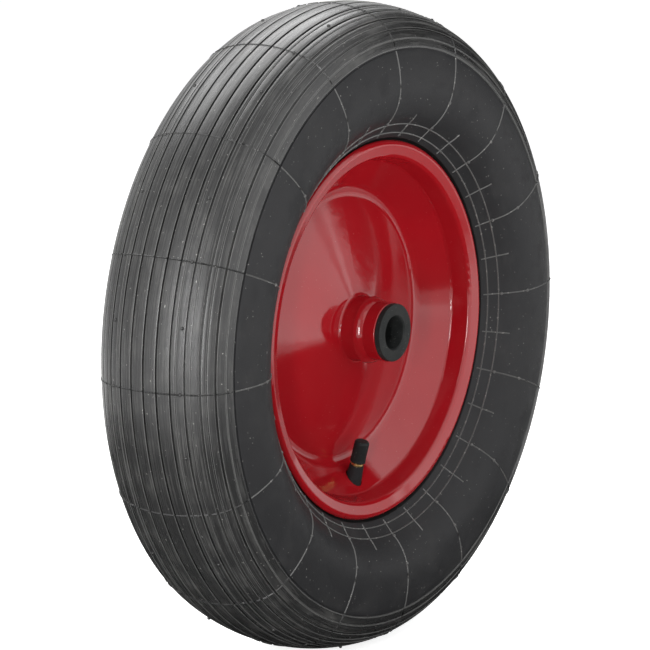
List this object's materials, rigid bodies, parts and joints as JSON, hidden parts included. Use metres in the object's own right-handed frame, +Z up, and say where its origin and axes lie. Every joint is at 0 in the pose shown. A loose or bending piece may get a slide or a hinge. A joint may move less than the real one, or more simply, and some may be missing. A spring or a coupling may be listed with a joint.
{
  "type": "pneumatic wheelbarrow wheel",
  "caption": "Air-filled barrow wheel with a ribbed rubber tyre on a red dished pressed steel rim, with a plain bushed hub and a capped air valve.",
  "frame": {"origin": "centre of the wheel, on the axle's line and in the tyre's middle plane", "axes": "+Y along the axle towards the side without the valve, +Z up, with the valve near the bottom of the -Y side"},
  "size_m": [0.395, 0.0984, 0.395],
  "materials": {
    "tyre_rubber": "dull black moulded rubber with dust and scuffs",
    "tube_rubber": "smooth black rubber",
    "red_enamel": "glossy red enamel on pressed steel",
    "black_plastic": "satin black moulded plastic",
    "valve_rubber": "dull black rubber",
    "brass": "turned brass",
    "spring_steel": "drawn wire",
    "seal_rubber": "smooth rubber",
    "cap_plastic": "satin black moulded plastic"
  },
  "bodies": {
    "wheel": {"tyre": "tyre_rubber", "inner_tube": "tube_rubber", "rim_front_shell": "red_enamel", "rim_back_shell": "red_enamel", "hub_tube": "red_enamel", "hub_weld_front": "red_enamel", "hub_weld_back": "red_enamel", "bush_front": "black_plastic", "bush_back": "black_plastic", "valve_stem": "valve_rubber", "valve_insert": "brass", "valve_core_body": "brass", "valve_core_seal": "seal_rubber", "valve_core_spring": "spring_steel"},
    "valve_cap_unit": {"valve_cap": "cap_plastic", "valve_cap_seal": "seal_rubber"},
    "valve_pin_unit": {"valve_core_pin": "brass", "valve_core_cup_seal": "seal_rubber"}
  },
  "joints": [
    {"name": "valve_cap_off", "type": "slide", "parent": "wheel", "child": "valve_cap_unit", "axis": [-0.062, -0.2756, 0.9593], "range_m": [0, 0.014]},
    {"name": "valve_pin_press", "type": "slide", "parent": "wheel", "child": "valve_pin_unit", "axis": [0.062, 0.2756, -0.9593], "range_m": [0, 0.0012], "stiffness_N_per_m": 1200, "springref_m": -0.0015, "deforming": ["valve_core_spring"]}
  ]
}
